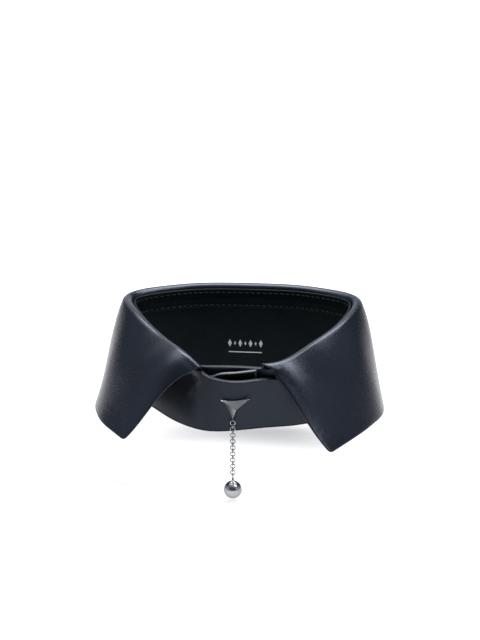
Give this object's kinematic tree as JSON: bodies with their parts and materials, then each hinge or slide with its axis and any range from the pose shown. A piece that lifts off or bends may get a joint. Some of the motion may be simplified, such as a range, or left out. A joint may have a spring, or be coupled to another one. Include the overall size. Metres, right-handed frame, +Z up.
{
  "type": "leather shirt collar necklace",
  "caption": "Detachable leather shirt collar worn as a necklace, fastened at the front, with a triangle stud, a fine chain and a ball.",
  "frame": {"origin": "middle of the neck opening, level with the foot edge at the back, where the neck holds the collar", "axes": "+X to the wearer's left, -Y to the front, +Z up"},
  "size_m": [0.1659, 0.1272, 0.0907],
  "materials": {
    "fall_leather": "smooth blue-black calf leather, soft sheen",
    "black_leather": "smooth blue-black calf leather, soft sheen",
    "lining_leather": "fine-grained near-black lining leather, matt",
    "tape_leather": "near-black leather strip with two rows of stitching",
    "tab_leather": "smooth leather with painted edges",
    "polished_metal": "polished silver-tone metal"
  },
  "bodies": {
    "collar": {"collar_leaf": "fall_leather", "neck_band": "black_leather", "neck_lining": "lining_leather", "neck_tape": "tape_leather", "closure_tab": "tab_leather", "stud_triangle": "polished_metal"},
    "link_01": {"chain_link_01": "polished_metal"},
    "link_02": {"chain_link_02": "polished_metal"},
    "link_03": {"chain_link_03": "polished_metal"},
    "link_04": {"chain_link_04": "polished_metal"},
    "link_05": {"chain_link_05": "polished_metal"},
    "link_06": {"chain_link_06": "polished_metal"},
    "link_07": {"chain_link_07": "polished_metal"},
    "link_08": {"chain_link_08": "polished_metal"},
    "link_09": {"chain_link_09": "polished_metal"},
    "link_10": {"chain_link_10": "polished_metal"},
    "link_11": {"chain_link_11": "polished_metal"},
    "link_12": {"chain_link_12": "polished_metal"},
    "link_13": {"chain_link_13": "polished_metal"},
    "link_14": {"chain_link_14": "polished_metal"},
    "link_15": {"chain_link_15": "polished_metal"},
    "link_16": {"chain_link_16": "polished_metal"},
    "ball": {"pendant_ball": "polished_metal"}
  },
  "joints": [
    {"name": "stud_to_link_01", "type": "hinge", "parent": "collar", "child": "link_01", "pos_m": [0.0021, -0.0559, 0.00648], "axis": [1, 0, 0], "range_deg": [-40, 10]},
    {"name": "link_01_to_link_02", "type": "hinge", "parent": "link_01", "child": "link_02", "pos_m": [0.0021, -0.0559, 0.00464], "axis": [0, 1, 0], "range_deg": [-40, 40]},
    {"name": "link_02_to_link_03", "type": "hinge", "parent": "link_02", "child": "link_03", "pos_m": [0.0021, -0.0559, 0.0028], "axis": [-1, 0, 0], "range_deg": [-40, 40]},
    {"name": "link_03_to_link_04", "type": "hinge", "parent": "link_03", "child": "link_04", "pos_m": [0.0021, -0.0559, 0.00096], "axis": [0, -1, 0], "range_deg": [-40, 40]},
    {"name": "link_04_to_link_05", "type": "hinge", "parent": "link_04", "child": "link_05", "pos_m": [0.0021, -0.0559, -0.00088], "axis": [1, 0, 0], "range_deg": [-40, 40]},
    {"name": "link_05_to_link_06", "type": "hinge", "parent": "link_05", "child": "link_06", "pos_m": [0.0021, -0.0559, -0.00272], "axis": [0, 1, 0], "range_deg": [-40, 40]},
    {"name": "link_06_to_link_07", "type": "hinge", "parent": "link_06", "child": "link_07", "pos_m": [0.0021, -0.0559, -0.00456], "axis": [-1, 0, 0], "range_deg": [-40, 40]},
    {"name": "link_07_to_link_08", "type": "hinge", "parent": "link_07", "child": "link_08", "pos_m": [0.0021, -0.0559, -0.0064], "axis": [0, -1, 0], "range_deg": [-40, 40]},
    {"name": "link_08_to_link_09", "type": "hinge", "parent": "link_08", "child": "link_09", "pos_m": [0.0021, -0.0559, -0.00824], "axis": [1, 0, 0], "range_deg": [-40, 40]},
    {"name": "link_09_to_link_10", "type": "hinge", "parent": "link_09", "child": "link_10", "pos_m": [0.0021, -0.0559, -0.01008], "axis": [0, 1, 0], "range_deg": [-40, 40]},
    {"name": "link_10_to_link_11", "type": "hinge", "parent": "link_10", "child": "link_11", "pos_m": [0.0021, -0.0559, -0.01192], "axis": [-1, 0, 0], "range_deg": [-40, 40]},
    {"name": "link_11_to_link_12", "type": "hinge", "parent": "link_11", "child": "link_12", "pos_m": [0.0021, -0.0559, -0.01376], "axis": [0, -1, 0], "range_deg": [-40, 40]},
    {"name": "link_12_to_link_13", "type": "hinge", "parent": "link_12", "child": "link_13", "pos_m": [0.0021, -0.0559, -0.0156], "axis": [1, 0, 0], "range_deg": [-40, 40]},
    {"name": "link_13_to_link_14", "type": "hinge", "parent": "link_13", "child": "link_14", "pos_m": [0.0021, -0.0559, -0.01744], "axis": [0, 1, 0], "range_deg": [-40, 40]},
    {"name": "link_14_to_link_15", "type": "hinge", "parent": "link_14", "child": "link_15", "pos_m": [0.0021, -0.0559, -0.01928], "axis": [-1, 0, 0], "range_deg": [-40, 40]},
    {"name": "link_15_to_link_16", "type": "hinge", "parent": "link_15", "child": "link_16", "pos_m": [0.0021, -0.0559, -0.02112], "axis": [0, -1, 0], "range_deg": [-40, 40]},
    {"name": "link_16_to_ball", "type": "hinge", "parent": "link_16", "child": "ball", "pos_m": [0.0021, -0.0559, -0.02296], "axis": [1, 0, 0], "range_deg": [-40, 40]}
  ]
}
